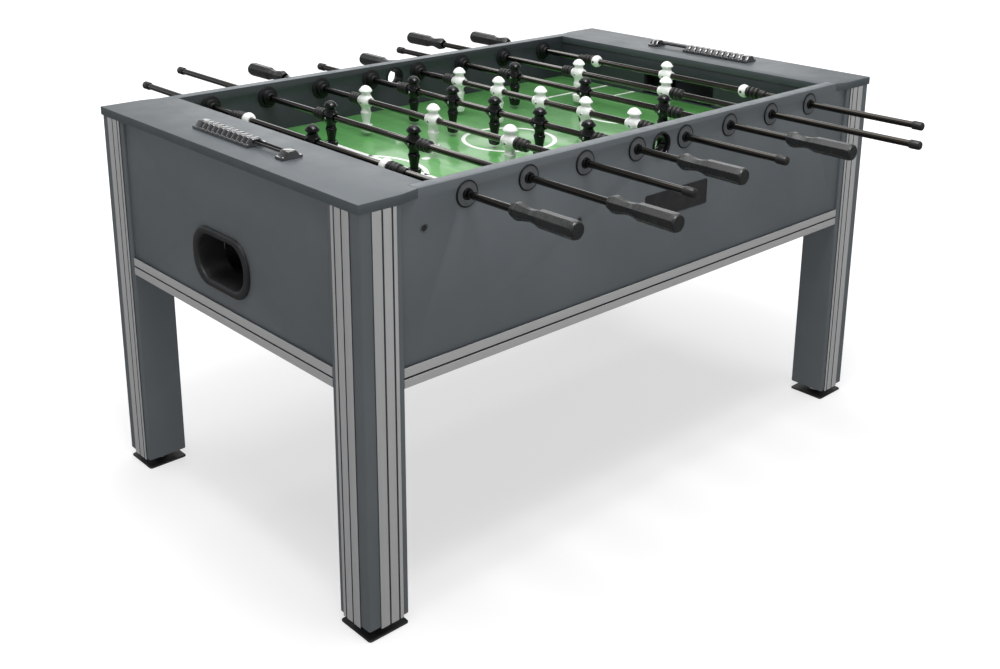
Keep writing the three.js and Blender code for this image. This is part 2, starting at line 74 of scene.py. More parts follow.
ROD_RADIUS = 6.5 * MM
BUSHING_BORE = 6.9 * MM
BUSHING_HOLE_RADIUS = 10.5 * MM
FLANGE_RADIUS = 23 * MM
INNER_FLANGE_RADIUS = 23 * MM
INNER_HUB_LENGTH = 18 * MM
BUMPER_LENGTH = 32 * MM
LONG_BUMPER_LENGTH = 48 * MM
COLLAR_OFFSET = 220 * MM
COLLAR_RADIUS = 14.5 * MM
COLLAR_REACH = 8.6 * MM  # from the middle of a stop collar to its bumper
FERRULE_LENGTH = 22 * MM
MAN_HALF_WIDTH = 17 * MM
TRIM_START = 23 * MM
TRIM_PROUD = 2 * MM
APRON_PROUD = 4 * MM
SHADED_GROOVE_SHARE = 0.56  # trim faces lower than this share of a rib sit in its grooves and get the dark lining colour as painted shade
CAP_NECK_X = 576 * MM
CAP_CURVE_X = 607 * MM
CAP_SHOULDER_X = 618 * MM
RETURN_HEIGHT = 548 * MM
RETURN_HALF = (76 * MM, 42 * MM)
RETURN_DEPTH = 50 * MM
SERVE_HEIGHT = 722 * MM
SERVE_RADIUS = 20 * MM
GOAL_HALF_WIDTH = 105 * MM
GOAL_HEIGHT = 54 * MM
EDGE = 0.4 * MM

side_lo, side_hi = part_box("front_side_panel")
end_lo, end_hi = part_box("left_end_panel")
cap_lo, cap_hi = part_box("left_end_cap")
leg_lo, leg_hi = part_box("front_left_leg")
field_lo, field_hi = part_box("playfield")

SIDE_THICKNESS = 25 * MM
SIDE_INNER = -side_hi.y
SIDE_OUTER = SIDE_INNER + SIDE_THICKNESS
PANEL_BOTTOM = side_lo.z
TABLE_TOP = side_hi.z
CAP_BOTTOM = cap_lo.z
FIELD_TOP = field_hi.z
FIELD_END = field_hi.x
END_OUTER = -end_lo.x - APRON_PROUD
END_THICKNESS = end_hi.x + END_OUTER
LEG_OUTER = Vector((-leg_lo.x - TRIM_PROUD, -leg_lo.y - TRIM_PROUD))
LEG_SIZE = leg_hi.x + LEG_OUTER.x


# ---------------------------------------------------------------- materials

class Nodes:
    """A new node material, with short calls for the nodes that the finishes share."""

    def __init__(self, name):
        self.material = bpy.data.materials.new(name)
        self.material.use_nodes = True
        self.tree = self.material.node_tree
        self.shader = self.tree.nodes["Principled BSDF"]
        self.place = self.node("ShaderNodeTexCoord").outputs["Object"]

    def node(self, kind, **values):
        made = self.tree.nodes.new(kind)
        for key, value in values.items():
            if hasattr(made, key):
                setattr(made, key, value)
            else:
                made.inputs[key.replace("_", " ")].default_value = value
        return made

    def link(self, output, node, socket):
        self.tree.links.new(output, node.inputs[socket])

    def noise(self, scale, detail=3.0, stretch=(1, 1, 1), roughness=0.55):
        mapping = self.node("ShaderNodeMapping", Scale=stretch)
        self.link(self.place, mapping, "Vector")
        noise = self.node("ShaderNodeTexNoise", Scale=scale, Detail=detail, Roughness=roughness)
        self.link(mapping.outputs["Vector"], noise, "Vector")
        return noise.outputs["Fac"]

    def spread(self, factor, low, high, start=0.3, end=0.7):
        spread = self.node("ShaderNodeMapRange")
        for socket, value in (("From Min", start), ("From Max", end), ("To Min", low), ("To Max", high)):
            spread.inputs[socket].default_value = value
        self.link(factor, spread, "Value")
        return spread.outputs["Result"]

    def blend(self, factor, first, second):
        blend = self.node("ShaderNodeMix", data_type="RGBA")
        for socket, value in ((6, first), (7, second)):
            if hasattr(value, "links"):
                self.link(value, blend, socket)
            else:
                blend.inputs[socket].default_value = (*value, 1)
        self.link(factor, blend, 0)
        return blend.outputs[2]

    def bump(self, height, strength, distance):
        bump = self.node("ShaderNodeBump", Strength=strength, Distance=distance)
        self.link(height, bump, "Height")
        self.link(bump.outputs["Normal"], self.shader, "Normal")


def scaled(color, factor):
    return tuple(channel * factor for channel in color)


def finish(name, color, rough, metal=0.0, coat=0.0, patch=14, tint=0.1, grain=900,
           stretch=(1, 1, 1), bump=0.15, rough_spread=0.06, specular=0.5, coat_rough=0.06):
    """A moulded, coated or metal finish: patchy colour, uneven gloss and a fine grain."""
    nodes = Nodes(name)
    shader = nodes.shader
    for socket, value in (("Metallic", metal), ("Coat Weight", coat), ("Coat Roughness", coat_rough),
                          ("Specular IOR Level", specular)):
        shader.inputs[socket].default_value = value
    patches = nodes.spread(nodes.noise(patch, 4, stretch), 0, 1)
    colors = nodes.blend(patches, scaled(color, 1 - tint), scaled(color, 1 + tint))
    nodes.link(colors, shader, "Base Color")
    uneven = nodes.noise(patch * 3.1, 5, stretch)
    nodes.link(nodes.spread(uneven, rough - rough_spread, rough + rough_spread), shader, "Roughness")
    nodes.bump(nodes.noise(grain, 2, stretch), bump, 0.1 * MM)
    return nodes.material


def field_finish(name):
    """Printed turf under a gloss film: mown bands, soft streaks and a fine speckle."""
    nodes = Nodes(name)
    shader = nodes.shader
    shader.inputs["Coat Weight"].default_value = 0.6
    shader.inputs["Coat Roughness"].default_value = 0.12
    wave = nodes.node("ShaderNodeTexWave", Scale=2.3, Distortion=0.8, Detail=2.0)
    nodes.link(nodes.place, wave, "Vector")
    bands = nodes.spread(wave.outputs["Fac"], 0, 1, 0.35, 0.65)
    grass = nodes.blend(bands, (0.040, 0.205, 0.038), (0.068, 0.290, 0.062))
    clouds = nodes.spread(nodes.noise(5.5, 4, (1, 0.45, 1)), 0, 0.75)
    grass = nodes.blend(clouds, grass, (0.165, 0.430, 0.140))
    streaks = nodes.spread(nodes.noise(60, 3, (1, 0.06, 1)), 0, 0.35)
    grass = nodes.blend(streaks, grass, (0.030, 0.175, 0.030))
    speckle = nodes.spread(nodes.noise(900, 2), 0, 0.25)
    grass = nodes.blend(speckle, grass, (0.10, 0.34, 0.08))
    nodes.link(grass, shader, "Base Color")
    nodes.link(nodes.spread(nodes.noise(20, 3), 0.34, 0.5), shader, "Roughness")
    nodes.bump(nodes.noise(30, 2), 0.05, 0.3 * MM)
    return nodes.material


def steel_finish(name):
    """Black-chromed tube with fine draw lines along it and a brown cast."""
    nodes = Nodes(name)
    shader = nodes.shader
    shader.inputs["Metallic"].default_value = 1.0
    shader.inputs["Coat Weight"].default_value = 0.8
    shader.inputs["Coat Roughness"].default_value = 0.05
    lines = nodes.noise(240, 3, (1, 0.02, 1))
    clouds = nodes.spread(nodes.noise(9, 3, (1, 0.5, 1)), 0, 1)
    tone = nodes.blend(clouds, (0.024, 0.019, 0.013), (0.040, 0.032, 0.022))
    tone = nodes.blend(nodes.spread(lines, 0, 0.4), tone, (0.009, 0.008, 0.007))
    nodes.link(tone, shader, "Base Color")
    nodes.link(nodes.spread(lines, 0.10, 0.17), shader, "Roughness")
    nodes.bump(lines, 0.04, 0.05 * MM)
    return nodes.material


slate = finish("slate_laminate", (0.083, 0.095, 0.104), 0.42, patch=5, tint=0.06, grain=650, bump=0.2)
# Dark laminate of the inner walls, goal walls and field underside, also used as painted shade in the trims'
# grooves.
lining_and_groove_shade = finish("dark_laminate", (0.025, 0.030, 0.036), 0.46, patch=6, tint=0.12, grain=650, bump=0.2)
band = finish("edge_band", (0.080, 0.095, 0.106), 0.38, patch=22, tint=0.08, grain=420)
cap_band = finish("cap_edge_band", (0.050, 0.061, 0.066), 0.40, patch=22, tint=0.08, grain=420)
turf = field_finish("green_playfield")
paint = finish("white_print", (0.80, 0.81, 0.79), 0.36, coat=0.5, patch=60, tint=0.04, grain=1400)
tube_steel = steel_finish("black_chrome")
gloss_black = finish("gloss_black_plastic", (0.005, 0.0052, 0.006), 0.12, coat=0.5, patch=40, tint=0.25,
                     grain=260, bump=0.02, rough_spread=0.03, specular=0.05, coat_rough=0.03)
counter_black = finish("counter_black_plastic", (0.016, 0.0165, 0.018), 0.11, coat=1.0, patch=40,
                       tint=0.25, grain=260, bump=0.01, rough_spread=0.03, specular=1.0)
gloss_white = finish("gloss_white_plastic", (0.91, 0.91, 0.90), 0.27, coat=0.35, patch=40, tint=0.025,
                     grain=300, bump=0.05, rough_spread=0.05)
grip = finish("grip_plastic", (0.011, 0.012, 0.0118), 0.30, patch=55, tint=0.25, grain=1500, bump=0.35,
              specular=0.6)
matte_black = finish("matte_black_plastic", (0.012, 0.0125, 0.0135), 0.48, patch=50, tint=0.25, grain=1300,
                     bump=0.3)
# Black plastic of the bushing hubs, also left on the flange rims as painted shade.
hub_black_and_rim_shade = finish("bushing_black_plastic_and_rim_shade", (0.004, 0.0042, 0.0045), 0.5, patch=50, tint=0.25,
                   grain=1300, bump=0.2, specular=0.25)
flange_plastic = finish("flange_plastic", (0.064, 0.070, 0.074), 0.44, patch=50, tint=0.18, grain=1300,
                        bump=0.25)
rubber = finish("black_rubber", (0.008, 0.0075, 0.007), 0.42, patch=70, tint=0.25, grain=1700, bump=0.45)
silver = finish("silver_trim", (0.44, 0.44, 0.44), 0.42, metal=0.4, patch=30, tint=0.07, grain=700,
                stretch=(1, 1, 0.02), bump=0.18)
silver_along = finish("silver_trim_along", (0.44, 0.44, 0.44), 0.42, metal=0.4, patch=30, tint=0.07,
                      grain=700, stretch=(0.02, 0.02, 1), bump=0.18)
screw_steel = finish("screw_steel", (0.50, 0.50, 0.51), 0.26, metal=1.0, patch=300, tint=0.15, grain=2000)


# ---------------------------------------------------------------- mesh helpers

def ring_points(radius, sides):
    return [(radius * math.cos(step * math.tau / sides), radius * math.sin(step * math.tau / sides))
            for step in range(sides)]


def round_rectangle(half_width, half_height, radius, steps=8):
    """The points of a rectangle with round corners, anticlockwise."""
    points = []
    corners = ((1, 1, 0), (-1, 1, 1), (-1, -1, 2), (1, -1, 3))
    for x, y, quarter in corners:
        for step in range(steps + 1):
            angle = (quarter + step / steps) * math.pi / 2
            points.append((x * (half_width - radius) + radius * math.cos(angle),
                           y * (half_height - radius) + radius * math.sin(angle)))
    return points


def loft(rings, caps=True, loop=False):
    """Skins rings that have the same number of points."""
    bm = bmesh.new()
    rows = [[bm.verts.new(point) for point in ring] for ring in rings]
    count = len(rows[0])
    pairs = list(zip(rows, rows[1:])) + ([(rows[-1], rows[0])] if loop else [])
    for lower, upper in pairs:
        for index in range(count):
            after = (index + 1) % count
            bm.faces.new((lower[index], lower[after], upper[after], upper[index]))
    if caps and not loop:
        bm.faces.new(rows[0])
        bm.faces.new(rows[-1])
    return bm


def lathe(profile, sides=40, caps=True, loop=False):
    """A turned shape about Y from (radius, y) points."""
    rings = [[Vector((x, y, z)) for x, z in ring_points(max(radius, 1e-5), sides)] for radius, y in profile]
    return loft(rings, caps, loop)


def prism(section, start, end, place):
    """An outline drawn out from start to end. place turns (u, v, w) into a point."""
    return loft([[place(u, v, w) for u, v in section] for w in (start, end)])


def soften(bm, width, segments=2, angle=25):
    """Rounds the edges that turn by more than the angle."""
    bmesh.ops.recalc_face_normals(bm, faces=bm.faces)
    sharp = [edge for edge in bm.edges
             if edge.is_manifold and edge.calc_face_angle() > math.radians(angle)]
    bmesh.ops.bevel(bm, geom=sharp, offset=width, segments=segments, profile=0.5,
                    affect="EDGES", clamp_overlap=True)
    return bm


def shaded(mesh, material, angle=32):
    mesh.materials.append(material)
    mesh.shade_smooth()
    mesh.set_sharp_from_angle(angle=math.radians(angle))
    return mesh


def meshed(name, bm, material, angle=32):
    bmesh.ops.remove_doubles(bm, verts=bm.verts, dist=1e-6)
    bmesh.ops.recalc_face_normals(bm, faces=bm.faces)
    mesh = bpy.data.meshes.new(name)
    bm.to_mesh(mesh)
    bm.free()
    return shaded(mesh, material, angle)


def piece(name, mesh, body, nodes=(), at=(0, 0, 0), turn=0.0):
    """Places a mesh, turned about Z, on its body, and hides the CAD nodes it stands for."""
    made = bpy.data.objects.new(name, mesh)
    bpy.context.scene.collection.objects.link(made)
    made.location = at
    made.rotation_euler = (0, 0, turn)
    bpy.context.view_layer.update()
    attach(made, body)
    if nodes:
        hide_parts(*nodes)
    return made


def board(name, outlines, thickness, material, place, edge=EDGE):
    """A board with rounded edges from flat outlines, of which the later ones are holes."""
    curve = bpy.data.curves.new(name, "CURVE")
    curve.dimensions = "2D"
    curve.fill_mode = "BOTH"
    curve.extrude = thickness / 2 - edge
    curve.bevel_depth = edge
    curve.bevel_resolution = 1
    curve.offset = -edge
    for number, points in enumerate(outlines):
        spline = curve.splines.new("POLY")
        spline.points.add(len(points) - 1)
        ordered = points if number == 0 else points[::-1]
        for point, (u, v) in zip(spline.points, ordered):
            point.co = (u, v, 0, 1)
        spline.use_cyclic_u = True
    holder = bpy.data.objects.new(name + "_outline", curve)
    bpy.context.scene.collection.objects.link(holder)
    made = bpy.data.meshes.new_from_object(holder)
    bpy.data.objects.remove(holder)
    bm = bmesh.new()
    bm.from_mesh(made)
    bpy.data.meshes.remove(made)
    for vertex in bm.verts:
        vertex.co = place(*vertex.co)
    bmesh.ops.remove_doubles(bm, verts=bm.verts, dist=1e-5)
    return meshed(name, bm, material, 25)


def paint_faces(mesh, material, chosen):
    """Gives a second material to the faces whose normal and centre are chosen."""
    mesh.materials.append(material)
    number = len(mesh.materials) - 1
    for face in mesh.polygons:
        if chosen(face.normal, face.center):
            face.material_index = number


def cut(name, bm, tools, material, angle=32):
    """A mesh with others added ("UNION") or taken away ("DIFFERENCE")."""
    scene = bpy.context.scene.collection.objects
    holders = []
    for part in [bm] + [tool for tool, _ in tools]:
        bmesh.ops.recalc_face_normals(part, faces=part.faces)
        mesh = bpy.data.meshes.new(name + "_part")
        part.to_mesh(mesh)
        part.free()
        holder = bpy.data.objects.new(name + "_part", mesh)
        scene.link(holder)
        holders.append(holder)
    for holder, (_, operation) in zip(holders[1:], tools):
        modifier = holders[0].modifiers.new("cut", "BOOLEAN")
        modifier.operation = operation
        modifier.solver = "EXACT"
        modifier.object = holder
    graph = bpy.context.evaluated_depsgraph_get()
    mesh = bpy.data.meshes.new_from_object(holders[0].evaluated_get(graph))
    mesh.name = name
    for holder in holders:
        bpy.data.objects.remove(holder)
    mesh.materials.clear()
    return shaded(mesh, material, angle)


# ---------------------------------------------------------------- cabinet

rod_joints = {joint["name"][:5]: joint for joint in frame["joints"] if joint["name"].endswith("_spin")}
ROD_X = {name: joint["pos_m"][0] for name, joint in rod_joints.items()}
ROD_Z = rod_joints["rod_1"]["pos_m"][2]


def side_panels():
    end, neck, under = side_hi.x, CAP_NECK_X - GAP, CAP_BOTTOM - GAP
    outer = [(-end, PANEL_BOTTOM), (end, PANEL_BOTTOM), (end, under), (neck, under),
             (neck, TABLE_TOP), (-neck, TABLE_TOP), (-neck, under), (-end, under)]
    holes = [[(x + u, ROD_Z + v) for u, v in ring_points(BUSHING_HOLE_RADIUS, 24)] for x in ROD_X.values()]
    holes.append([(u, SERVE_HEIGHT + v) for u, v in ring_points(SERVE_RADIUS + 1.5 * MM, 40)])
    middle = SIDE_INNER + SIDE_THICKNESS / 2
    for name, y in SIDES:
        mesh = board(name + "_side_board", [outer, *holes], SIDE_THICKNESS, slate,
                     lambda u, v, w: Vector((u, y * (middle + w), v)))
        paint_faces(mesh, lining_and_groove_shade, lambda normal, _: normal.y * y < -0.9)
        paint_faces(mesh, band, lambda normal, centre: normal.z > 0.9 and centre.z > CAP_BOTTOM)
        piece(name + "_side_board", mesh, CABINET, [name + "_side_panel"])


def end_panels():
    width = end_hi.y
    outer = [(-width, PANEL_BOTTOM), (width, PANEL_BOTTOM), (width, end_hi.z), (-width, end_hi.z)]
    sleeve = 3.3 * MM
    hole = [(u, RETURN_HEIGHT + v) for u, v in
            round_rectangle(RETURN_HALF[0] + sleeve, RETURN_HALF[1] + sleeve, 40 * MM)]
    middle = END_OUTER - END_THICKNESS / 2
    for name, x in ENDS:
        mesh = board(name + "_end_board", [outer, hole], END_THICKNESS, slate,
                     lambda u, v, w: Vector((x * (middle + w), u, v)))
        piece(name + "_end_board", mesh, CABINET, [name + "_end_panel"])


def end_caps():
    width, inner, outer = cap_hi.y, -cap_hi.x, -cap_lo.x
    neck_width = SIDE_INNER - GAP
    steps = 12
    curve = []
    for step in range(steps + 1):
        t = step / steps
        weights = ((1 - t) ** 2, 2 * t * (1 - t), t ** 2)
        curve.append((weights[0] * CAP_SHOULDER_X + weights[1] * CAP_CURVE_X + weights[2] * CAP_NECK_X,
                      weights[0] * width + weights[1] * width + weights[2] * SIDE_OUTER))
    half = [(outer, width), *curve, (CAP_NECK_X, neck_width), (inner, neck_width)]
    outline = half + [(x, -y) for x, y in reversed(half)]
    thickness = cap_hi.z - CAP_BOTTOM
    middle = CAP_BOTTOM + thickness / 2
    for name, x in ENDS:
        mesh = board(name + "_cap_board", [outline], thickness, slate,
                     lambda u, v, w: Vector((x * u, v, middle + w)))
        paint_faces(mesh, cap_band, lambda normal, _: abs(normal.z) < 0.5)
        piece(name + "_cap_board", mesh, CABINET, [name + "_end_cap"])


def ribbed_section(ribs, proud, base):
    """The outline of a strip with raised ribs, as (along, height) points."""
    points = [(ribs[0][0], 0)]
    for start, end in ribs:
        lip, middle = 0.5 * MM, (start + end) / 2
        points += [(start, base), (start + 0.1 * MM, proud - lip), (start + lip, proud),
                   (middle, proud + 0.25 * MM), (end - lip, proud), (end - 0.1 * MM, proud - lip),
                   (end, base)]
    points.append((ribs[-1][1], 0))
    return points


def leg_trims():
    ribs = [(start * MM, end * MM) for start, end in ((0, 18), (21, 37), (40, 47))]
    section = ribbed_section(ribs, TRIM_PROUD, 0.6 * MM)
    for name, x, y in CORNERS:
        faces = {
            "side": lambda u, v, w: Vector((x * (LEG_OUTER.x - TRIM_START - u), y * (LEG_OUTER.y + v), w)),
            "end": lambda u, v, w: Vector((x * (LEG_OUTER.x + v), y * (LEG_OUTER.y - TRIM_START - u), w)),
        }
        for face, place in faces.items():
            bm = prism(section, leg_lo.z - 1.5 * MM, leg_hi.z, place)
            mesh = meshed("leg_trim", bm, silver, 40)
            axis, outer = (1, LEG_OUTER.y) if face == "side" else (0, LEG_OUTER.x)
            # The faces in the grooves get the dark lining colour as painted shade.
            paint_faces(mesh, lining_and_groove_shade, lambda _, centre: abs(centre[axis]) - outer < SHADED_GROOVE_SHARE * TRIM_PROUD)
            piece(f"{name}_leg_{face}_trim", mesh, CABINET, [name + "_leg"])


def legs():
    half = LEG_SIZE / 2
    for name, x, y in CORNERS:
        centre = (x * (LEG_OUTER.x - half), y * (LEG_OUTER.y - half))
        rings = []
        for z, inset in ((leg_lo.z, 1.2), (leg_lo.z + 1.2 * MM, 0), (leg_hi.z, 0)):
            size = half - inset * MM
            rings.append([Vector((centre[0] + u, centre[1] + v, z))
                          for u, v in round_rectangle(size, size, 3.5 * MM, 5)])
        piece(name + "_leg_post", meshed("leg_post", loft(rings), slate, 40), CABINET,
              [name + "_leg"])


def apron_trims():
    ribs = [(0.5 * MM, 16 * MM), (19 * MM, 35.5 * MM)]
    section = ribbed_section(ribs, APRON_PROUD, 0.8 * MM)
    for name, y in SIDES:
        bm = prism(section, -side_hi.x, side_hi.x,
                   lambda u, v, w: Vector((w, y * (SIDE_OUTER + v), PANEL_BOTTOM + u)))
        mesh = meshed("apron_trim", bm, silver_along, 40)
        # The faces in the grooves get the dark lining colour as painted shade.
        paint_faces(mesh, lining_and_groove_shade, lambda _, centre: abs(centre.y) - SIDE_OUTER < SHADED_GROOVE_SHARE * APRON_PROUD)
        piece(name + "_apron_trim", mesh, CABINET, [name + "_side_panel"])
    for name, x in ENDS:
        bm = prism(section, -end_hi.y, end_hi.y,
                   lambda u, v, w: Vector((x * (END_OUTER + v), w, PANEL_BOTTOM + u)))
        mesh = meshed("apron_trim", bm, silver_along, 40)
        # The faces in the grooves get the dark lining colour as painted shade.
        paint_faces(mesh, lining_and_groove_shade, lambda _, centre: abs(centre.x) - END_OUTER < SHADED_GROOVE_SHARE * APRON_PROUD)
        piece(name + "_apron_trim", mesh, CABINET, [name + "_end_panel"])


def levelling_feet():
    """A square plate with a domed boss, and a threaded stem that runs up into the leg."""
    for name, _, _ in CORNERS:
        node = name + "_levelling_foot"
        lo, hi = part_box(node)
        half = (hi.x - lo.x) / 2
        centre = ((lo.x + hi.x) / 2, (lo.y + hi.y) / 2, 0)
        plate = [(half - 1 * MM, 0), (half, 1 * MM), (half, 3.2 * MM), (half - 0.8 * MM, 4 * MM)]
        rings = [[Vector((u, v, z)) for u, v in round_rectangle(size, size, 5 * MM, 5)] for size, z in plate]
        piece(name + "_foot_plate", meshed("foot_plate", loft(rings), matte_black), name + "_foot",
              [node], centre)
        profile = [(14, 3.9), (13.6, 5), (11.5, 8.5), (9.5, 10), (8, 10.3)]
        profile = [(radius * MM, z * MM) for radius, z in profile]
        thread, pitch = 11 * MM, 1.5 * MM
        while thread < hi.z - pitch:
            profile += [(4.3 * MM, thread), (5 * MM, thread + pitch / 2)]
            thread += pitch
        profile += [(4.3 * MM, thread), (3.4 * MM, hi.z)]
        bm = lathe(profile, 28)
        bmesh.ops.transform(bm, matrix=Matrix.Rotation(math.pi / 2, 4, "X"), verts=bm.verts)
        piece(name + "_foot_stem", meshed("foot_stem", bm, screw_steel, 50), name + "_foot",
              [node], centre)


def field_board():
    bm = prism([(field_lo.x, field_lo.y), (field_hi.x, field_lo.y), (field_hi.x, field_hi.y),
                (field_lo.x, field_hi.y)], field_lo.z, FIELD_TOP, lambda u, v, w: Vector((u, v, w)))
    mesh = meshed("playfield_board", soften(bm, 0.5 * MM), turf)
    paint_faces(mesh, lining_and_groove_shade, lambda normal, _: normal.z < 0.5)
    piece("playfield_board", mesh, CABINET, ["playfield"])


def field_lines():
    """Printed lines: halfway line, circle, spots, penalty boxes with their arcs, goal areas."""
    half_line = 4.5 * MM
    low, high = FIELD_TOP + 0.02 * MM, FIELD_TOP + 0.14 * MM
    edge = SIDE_INNER - 2 * MM
    end = FIELD_END - 2 * MM
    box_x, box_y, area_x, area_y = 297 * MM, 225 * MM, 450 * MM, 135 * MM

    def strip(name, path, closed=False):
        rings = []
        count = len(path)
        for index, point in enumerate(path):
            before = path[(index - 1) % count] if closed or index > 0 else point
            after = path[(index + 1) % count] if closed or index < count - 1 else point
            along = (Vector(after) - Vector(before)).normalized()
            arms = [(Vector(point) - Vector(other)).normalized() for other in (before, after)
                    if other != point]
            opening = max(math.sqrt((1 - arms[0].dot(arms[-1])) / 2), 0.3) if len(arms) > 1 else 1
            across = Vector((-along.y, along.x)) * half_line / opening
            left, right = Vector(point) + across, Vector(point) - across
            rings.append([(*left, low), (*left, high), (*right, high), (*right, low)])
        bm = loft(rings, not closed, closed)
        piece(name, meshed("field_line", bm, paint, 30), CABINET)

    def arc(centre, radius, start, stop, steps=64):
        return [(centre[0] + radius * math.cos(start + (stop - start) * step / steps),
                 centre[1] + radius * math.sin(start + (stop - start) * step / steps))
                for step in range(steps + 1)]

    def spot(name, x):
        rings = [[(x + u, v, z) for u, v in ring_points(9 * MM, 32)] for z in (low, high)]
        piece(name, meshed("field_spot", loft(rings), paint), CABINET)

    strip("field_halfway_line", [(0, -edge), (0, edge)])
    strip("field_centre_circle", arc((0, 0), 96 * MM, 0, math.tau)[:-1], True)
    spot("field_centre_spot", 0)
    arc_radius, arc_centre = 135.6 * MM, 397.6 * MM
    spread = math.acos((arc_centre - box_x) / arc_radius)
    for name, x in ENDS:
        for area, depth, width in (("penalty_box", box_x, box_y), ("goal_area", area_x, area_y)):
            strip(f"field_{name}_{area}",
                  [(x * end, -width), (x * depth, -width), (x * depth, width), (x * end, width)])
        strip(f"field_{name}_penalty_arc",
              [(x * (arc_centre - u), v) for u, v in arc((0, 0), arc_radius, -spread, spread)])
        spot(f"field_{name}_spot", x * 225 * MM)


def goal_ends():
    """Each goal wall with its mouth and bezel, the chute behind it, and the ball return."""
    wall_top, wall_bottom = CAP_BOTTOM - GAP, 560 * MM
    width = SIDE_INNER - GAP
    wall = 12 * MM
    mouth_top = FIELD_TOP + GOAL_HEIGHT
    outer = [(-width, wall_bottom), (width, wall_bottom), (width, wall_top), (-width, wall_top)]
    mouth = [(-GOAL_HALF_WIDTH, FIELD_TOP), (GOAL_HALF_WIDTH, FIELD_TOP),
             (GOAL_HALF_WIDTH, mouth_top), (-GOAL_HALF_WIDTH, mouth_top)]
    wall_face = FIELD_END + GAP
    back, deep = wall_face + wall, END_OUTER - RETURN_DEPTH
    floor = RETURN_HEIGHT - RETURN_HALF[1]
    for name, x in ENDS:
        node = name + "_goal_housing"
        mesh = board(name + "_goal_wall", [outer, mouth], wall, lining_and_groove_shade,
                     lambda u, v, w: Vector((x * (wall_face + wall / 2 + w), u, v)))
        piece(name + "_goal_wall", mesh, CABINET, [node])

        def place(u, v, w):
            return Vector((x * u, w, v))

        half = RETURN_HALF[0]
        wide = GOAL_HALF_WIDTH
        shell = prism([(back, FIELD_TOP - 12 * MM), (back, mouth_top + 3 * MM),
                       (600 * MM, mouth_top + 3 * MM), (deep - 3 * MM, mouth_top - 24 * MM),
                       (deep - 3 * MM, floor - 3 * MM), (604 * MM, floor - 3 * MM)],
                      -half - 3 * MM, half + 3 * MM, place)
        hood = prism([(back, FIELD_TOP - 7 * MM), (back, mouth_top + 3 * MM),
                      (back + 29 * MM, mouth_top + 3 * MM), (back + 29 * MM, FIELD_TOP - 7 * MM)],
                     -wide - 3 * MM, wide + 3 * MM, place)
        hollow = prism([(back - 1 * MM, FIELD_TOP), (back - 1 * MM, mouth_top), (599 * MM, mouth_top),
                        (deep, mouth_top - 26 * MM), (deep, floor), (608 * MM, floor),
                        (back + 6 * MM, FIELD_TOP)], -half, half, place)
        catcher = prism([(back - 1 * MM, FIELD_TOP - 4 * MM), (back - 1 * MM, mouth_top),
                         (back + 26 * MM, mouth_top), (back + 26 * MM, FIELD_TOP - 4 * MM)],
                        -wide, wide, place)
        window = prism([(deep - 8 * MM, floor), (deep - 8 * MM, floor + 2 * RETURN_HALF[1]),
                        (deep + 1 * MM, floor + 2 * RETURN_HALF[1]), (deep + 1 * MM, floor)],
                       -half + 4 * MM, half - 4 * MM, place)
        mesh = cut(name + "_ball_chute", shell, [(hood, "UNION"), (hollow, "DIFFERENCE"),
                                                 (catcher, "DIFFERENCE"), (window, "DIFFERENCE")],
                   matte_black)
        piece(name + "_ball_chute", mesh, CABINET, [node])

        # From the back of the flange over the rim, down into the cup, and back out behind it.
        profile = [(17, 13, 50, 0.3), (17, 13, 50, 2.6), (16, 12, 49, 4.1), (13.5, 9.8, 47, 4.8),
                   (6, 5, 44, 4.9), (2.6, 2.4, 41.5, 4.5), (0.8, 0.8, 40, 2.9), (0, 0, 38, 0),
                   (-1.5, -1.5, 37, -25), (-3, -3, 36, -49.5), (-0.5, -0.5, 38, -49.5),
                   (2.8, 2.8, 40, -2), (2.8, 2.8, 40, 0.3)]
        rings = []
        for grow, rise, radius, out in profile:
            outline = round_rectangle(RETURN_HALF[0] + grow * MM, RETURN_HALF[1] + rise * MM,
                                      min(radius * MM, RETURN_HALF[1] + rise * MM - 0.2 * MM), 12)
            rings.append([Vector((x * (END_OUTER + out * MM), u, RETURN_HEIGHT + v)) for u, v in outline])
        piece(name + "_ball_return", meshed("ball_return", loft(rings, False, True), matte_black, 50),
              CABINET, [node])


# ---------------------------------------------------------------- cabinet fittings

